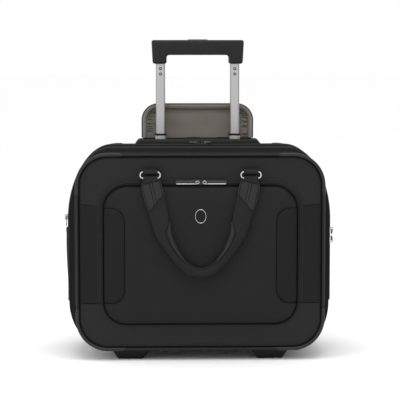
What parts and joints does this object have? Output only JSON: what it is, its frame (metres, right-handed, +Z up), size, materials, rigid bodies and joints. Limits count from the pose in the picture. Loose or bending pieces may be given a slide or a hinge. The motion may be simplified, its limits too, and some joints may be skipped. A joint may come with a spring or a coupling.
{
  "type": "rolling laptop case",
  "caption": "Upright rolling laptop case with a telescopic pull handle, corner wheels, front feet, a fold-down front cover, zip pockets and swinging carry handles.",
  "frame": {"origin": "on the ground under the middle of the case", "axes": "+X to the case's left-to-right as seen from the front, -Y front, +Z up"},
  "size_m": [0.4359, 0.2477, 0.509],
  "materials": {
    "fabric": "black ballistic weave, matt",
    "panel_fabric": "black finer weave, matt",
    "piping": "black corded edge, slight sheen",
    "webbing": "black woven webbing with stitching",
    "lining": "greige nylon lining",
    "board": "lined stiffening board",
    "plastic": "black moulded plastic, fine grain",
    "grip_plastic": "satin black grip",
    "button_plastic": "satin dark grey button",
    "aluminium": "clear anodised tube",
    "steel": "zinc plated steel",
    "gunmetal": "dark gunmetal plating",
    "nickel": "bright nickel plating",
    "rubber": "black polyurethane tyre",
    "hub_plastic": "dark grey moulded hub"
  },
  "bodies": {
    "case": {"main_shell": "fabric", "rear_piping": "piping", "back_board": "board", "laptop_sleeve": "lining", "side_pocket": "panel_fabric", "handle_well": "plastic", "tube_bracket": "plastic", "outer_tube_left": "aluminium", "outer_tube_right": "aluminium", "wheel_housing_left": "plastic", "wheel_housing_right": "plastic", "wheel_axle_left": "steel", "wheel_axle_right": "steel", "front_foot_left": "plastic", "front_foot_right": "plastic", "rear_handle_anchor_left": "webbing", "rear_handle_anchor_right": "webbing"},
    "cover": {"front_cover": "fabric", "front_piping": "piping", "front_pocket_panel": "panel_fabric", "emblem": "gunmetal", "front_handle_anchor_left": "webbing", "front_handle_anchor_right": "webbing"},
    "front_handle": {"front_handle_strap": "webbing", "front_handle_ring_left": "gunmetal", "front_handle_ring_right": "gunmetal"},
    "rear_handle": {"rear_handle_strap": "webbing", "rear_handle_ring_left": "gunmetal", "rear_handle_ring_right": "gunmetal"},
    "flap": {"handle_flap": "lining"},
    "lower_stage": {"lower_tube_left": "aluminium", "lower_tube_right": "aluminium"},
    "middle_stage": {"middle_tube_left": "aluminium", "middle_tube_right": "aluminium", "middle_collar_left": "plastic", "middle_collar_right": "plastic"},
    "inner_stage": {"inner_tube_left": "aluminium", "inner_tube_right": "aluminium", "grip": "grip_plastic", "button_spring": "steel"},
    "button": {"release_button": "button_plastic", "lock_frame": "steel"},
    "wheel_left": {"wheel_tyre_left": "rubber", "wheel_hub_left": "hub_plastic"},
    "wheel_right": {"wheel_tyre_right": "rubber", "wheel_hub_right": "hub_plastic"},
    "pocket_slider_left": {"pocket_slider_left": "gunmetal"},
    "pocket_puller_left": {"pocket_puller_left": "gunmetal"},
    "pocket_slider_right": {"pocket_slider_right": "gunmetal"},
    "pocket_puller_right": {"pocket_puller_right": "gunmetal"},
    "top_slider_left": {"top_slider_left": "gunmetal"},
    "top_puller_left": {"top_puller_left": "gunmetal"},
    "top_slider_right": {"top_slider_right": "gunmetal"},
    "top_puller_right": {"top_puller_right": "gunmetal"},
    "side_slider_lower": {"side_slider_lower": "nickel"},
    "side_puller_lower": {"side_puller_lower": "plastic"},
    "side_slider_upper": {"side_slider_upper": "nickel"},
    "side_puller_upper": {"side_puller_upper": "plastic"},
    "side_pocket_slider": {"side_pocket_slider": "nickel"},
    "side_pocket_puller": {"side_pocket_puller": "nickel"}
  },
  "joints": [
    {"name": "cover_hinge", "type": "hinge", "parent": "case", "child": "cover", "pos_m": [0, -0.0885, 0.0175], "axis": [1, 0, 0], "range_deg": [0, 80]},
    {"name": "front_handle_swing", "type": "hinge", "parent": "cover", "child": "front_handle", "pos_m": [0, -0.1065, 0.3009], "axis": [-1, 0, 0], "range_deg": [0, 150]},
    {"name": "rear_handle_swing", "type": "hinge", "parent": "case", "child": "rear_handle", "pos_m": [0, 0.1065, 0.3009], "axis": [1, 0, 0], "range_deg": [0, 150]},
    {"name": "flap_hinge", "type": "hinge", "parent": "case", "child": "flap", "pos_m": [0, 0.0925, 0.3446], "axis": [1, 0, 0], "range_deg": [-100, 0]},
    {"name": "lower_stage_slide", "type": "slide", "parent": "case", "child": "lower_stage", "axis": [0, 0, 1], "range_m": [0, 0.195]},
    {"name": "middle_stage_slide", "type": "slide", "parent": "lower_stage", "child": "middle_stage", "axis": [0, 0, 1], "range_m": [-0.0466, 0.15]},
    {"name": "inner_stage_slide", "type": "slide", "parent": "middle_stage", "child": "inner_stage", "axis": [0, 0, 1], "range_m": [-0.1155, 0.075]},
    {"name": "button_slide", "type": "slide", "parent": "inner_stage", "child": "button", "axis": [0, 0, -1], "range_m": [0, 0.004], "stiffness_N_per_m": 900, "springref_m": -0.003, "deforming": ["button_spring"]},
    {"name": "wheel_left_spin", "type": "hinge", "parent": "case", "child": "wheel_left", "pos_m": [-0.156, 0.0865, 0.031], "axis": [1, 0, 0], "continuous": true},
    {"name": "wheel_right_spin", "type": "hinge", "parent": "case", "child": "wheel_right", "pos_m": [0.156, 0.0865, 0.031], "axis": [1, 0, 0], "continuous": true},
    {"name": "pocket_slider_left_run", "type": "slide", "parent": "cover", "child": "pocket_slider_left", "axis": [-1, 0, 0], "range_m": [0, 0.1]},
    {"name": "pocket_puller_left_swing", "type": "hinge", "parent": "pocket_slider_left", "child": "pocket_puller_left", "pos_m": [-0.0048, -0.1001, 0.2842], "axis": [0, 0, 1], "range_deg": [0, 150]},
    {"name": "pocket_slider_right_run", "type": "slide", "parent": "cover", "child": "pocket_slider_right", "axis": [1, 0, 0], "range_m": [0, 0.1]},
    {"name": "pocket_puller_right_swing", "type": "hinge", "parent": "pocket_slider_right", "child": "pocket_puller_right", "pos_m": [0.0064, -0.1001, 0.2842], "axis": [0, 0, -1], "range_deg": [0, 150]},
    {"name": "top_slider_left_run", "type": "slide", "parent": "case", "child": "top_slider_left", "axis": [-1, 0, 0], "range_m": [0, 0.1]},
    {"name": "top_puller_left_swing", "type": "hinge", "parent": "top_slider_left", "child": "top_puller_left", "pos_m": [-0.0021, 0.03, 0.34005], "axis": [0, 1, 0], "range_deg": [0, 150]},
    {"name": "top_slider_right_run", "type": "slide", "parent": "case", "child": "top_slider_right", "axis": [1, 0, 0], "range_m": [0, 0.1]},
    {"name": "top_puller_right_swing", "type": "hinge", "parent": "top_slider_right", "child": "top_puller_right", "pos_m": [0.0091, 0.03, 0.34005], "axis": [0, -1, 0], "range_deg": [0, 150]},
    {"name": "side_slider_lower_run", "type": "slide", "parent": "case", "child": "side_slider_lower", "axis": [0, 0, -1], "range_m": [0, 0.085]},
    {"name": "side_puller_lower_swing", "type": "hinge", "parent": "side_slider_lower", "child": "side_puller_lower", "pos_m": [0.21468, -0.03, 0.1846], "axis": [0, 1, 0], "range_deg": [0, 120]},
    {"name": "side_slider_upper_run", "type": "slide", "parent": "case", "child": "side_slider_upper", "axis": [0, 0, 1], "range_m": [0, 0.05]},
    {"name": "side_puller_upper_swing", "type": "hinge", "parent": "side_slider_upper", "child": "side_puller_upper", "pos_m": [0.21468, -0.03, 0.2014], "axis": [0, -1, 0], "range_deg": [0, 120]},
    {"name": "side_pocket_slider_run", "type": "slide", "parent": "case", "child": "side_pocket_slider", "axis": [0, 1, 0], "range_m": [0, 0.045]},
    {"name": "side_pocket_puller_swing", "type": "hinge", "parent": "side_pocket_slider", "child": "side_pocket_puller", "pos_m": [-0.2162, 0, 0.2205], "axis": [0, 1, 0], "range_deg": [0, 150]}
  ]
}
